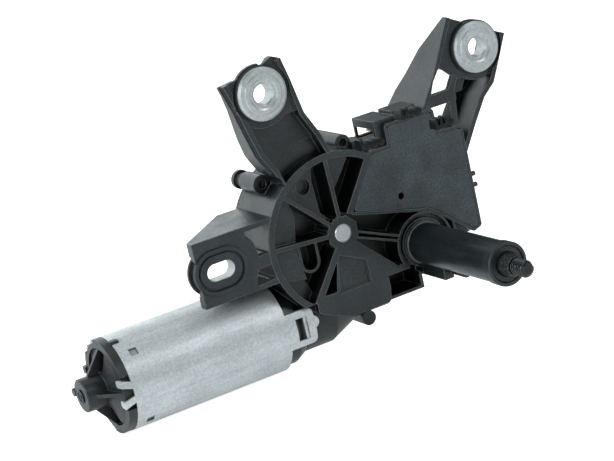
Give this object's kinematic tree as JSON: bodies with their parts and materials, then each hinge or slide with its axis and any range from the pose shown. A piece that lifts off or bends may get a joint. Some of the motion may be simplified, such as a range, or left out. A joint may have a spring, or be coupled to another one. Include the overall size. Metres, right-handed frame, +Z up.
{
  "type": "wiper motor",
  "caption": "Rear wiper motor: worm drive and toothed-rod linkage in a ribbed moulded case that swings a threaded output shaft, with cushioned mounting arms.",
  "frame": {"origin": "on the output shaft's axis, at the shoulder where the knurled cone ends and the thread for the arm nut begins", "axes": "-Y along the output shaft, out of its threaded end; -X along the motor towards its rear cap; +Z up, square to both"},
  "size_m": [0.2444, 0.1338, 0.1502],
  "materials": {
    "case_plastic": "glass-filled plastic, fine moulded grain",
    "cover_plastic": "moulded, slightly smoother than the case",
    "lid_plastic": "fine spark-eroded grain",
    "cap_plastic": "moulded, satin",
    "board": "laminate",
    "relay_plastic": "moulded",
    "wheel_plastic": "machined acetal",
    "grommet_rubber": "moulded, matte",
    "seal_rubber": "moulded, oiled",
    "sleeve_metal": "satin, cast and turned",
    "can_steel": "zinc-plated deep-drawn steel, matte light grey",
    "dark_steel": "phosphated, oiled",
    "bright_steel": "ground bright",
    "plain_steel": "stamped steel, greased",
    "screw_steel": "zinc-plated",
    "core_steel": "stacked laminations",
    "magnet_ferrite": "ferrite, dull",
    "bush_bronze": "sintered, oiled",
    "contact_brass": "stamped strip",
    "winding_copper": "enamelled copper",
    "carbon": "pressed carbon"
  },
  "bodies": {
    "housing": {"gear_case": "case_plastic", "upper_left_arm": "case_plastic", "upper_right_arm": "case_plastic", "lower_left_arm": "case_plastic", "back_cover": "cover_plastic", "cover_screws": "screw_steel", "electronics_cover": "lid_plastic", "circuit_board": "board", "board_relay": "relay_plastic", "board_capacitor": "relay_plastic", "connector_shroud": "case_plastic", "connector_pins": "contact_brass", "contact_fingers": "contact_brass", "wheel_axle": "bright_steel", "front_shaft_bush": "bush_bronze", "rear_shaft_bush": "bush_bronze", "shaft_seal": "seal_rubber", "seal_cap": "cover_plastic", "upper_left_grommet": "grommet_rubber", "upper_left_sleeve": "sleeve_metal", "upper_right_grommet": "grommet_rubber", "upper_right_sleeve": "sleeve_metal", "lower_left_grommet": "grommet_rubber", "lower_left_sleeve": "sleeve_metal", "motor_can": "can_steel", "rear_cap": "cap_plastic", "rear_bearing": "bush_bronze", "magnets": "magnet_ferrite", "magnet_clips": "screw_steel", "front_bearing": "bright_steel", "worm_tip_bush": "bush_bronze", "thrust_pad": "wheel_plastic", "brush_holder": "board", "carbon_brushes": "carbon", "brush_springs": "screw_steel", "suppression_chokes": "winding_copper"},
    "armature": {"armature_shaft": "bright_steel", "worm": "bright_steel", "armature_core": "core_steel", "armature_windings": "winding_copper", "commutator": "winding_copper"},
    "worm_wheel": {"worm_wheel": "wheel_plastic", "park_contact_plate": "contact_brass"},
    "output_shaft": {"output_shaft": "dark_steel", "output_pinion": "plain_steel", "shaft_retaining_ring": "screw_steel"},
    "guide_link": {"guide_link": "plain_steel", "guide_pin": "bright_steel"},
    "toothed_rod": {"toothed_rod": "plain_steel", "crank_pin": "bright_steel"}
  },
  "joints": [
    {"name": "armature_spin", "type": "hinge", "parent": "housing", "child": "armature", "pos_m": [-0.12, 0.1, -0.019], "axis": [1, 0, 0], "continuous": true},
    {"name": "worm_wheel_spin", "type": "hinge", "parent": "housing", "child": "worm_wheel", "pos_m": [-0.042, 0.1, 0.0185], "axis": [0, 1, 0], "continuous": true},
    {"name": "output_shaft_swing", "type": "hinge", "parent": "housing", "child": "output_shaft", "pos_m": [0, 0, 0], "axis": [0, -1, 0], "range_deg": [0, 139.3]},
    {"name": "guide_link_swing", "type": "hinge", "parent": "housing", "child": "guide_link", "pos_m": [0, 0.1086, 0], "axis": [0, -1, 0], "range_deg": [0, 41.72]},
    {"name": "toothed_rod_swing", "type": "hinge", "parent": "guide_link", "child": "toothed_rod", "pos_m": [0.00888, 0.1058, 0.0247], "axis": [0, -1, 0], "range_deg": [-48.81, 0]}
  ],
  "couplings": [
    {"joint": "worm_wheel_spin", "follows": "armature_spin", "ratio": 0.015625},
    {"joint": "guide_link_swing", "follows": "output_shaft_swing", "ratio": 0.2994},
    {"joint": "toothed_rod_swing", "follows": "output_shaft_swing", "ratio": -0.3503}
  ]
}
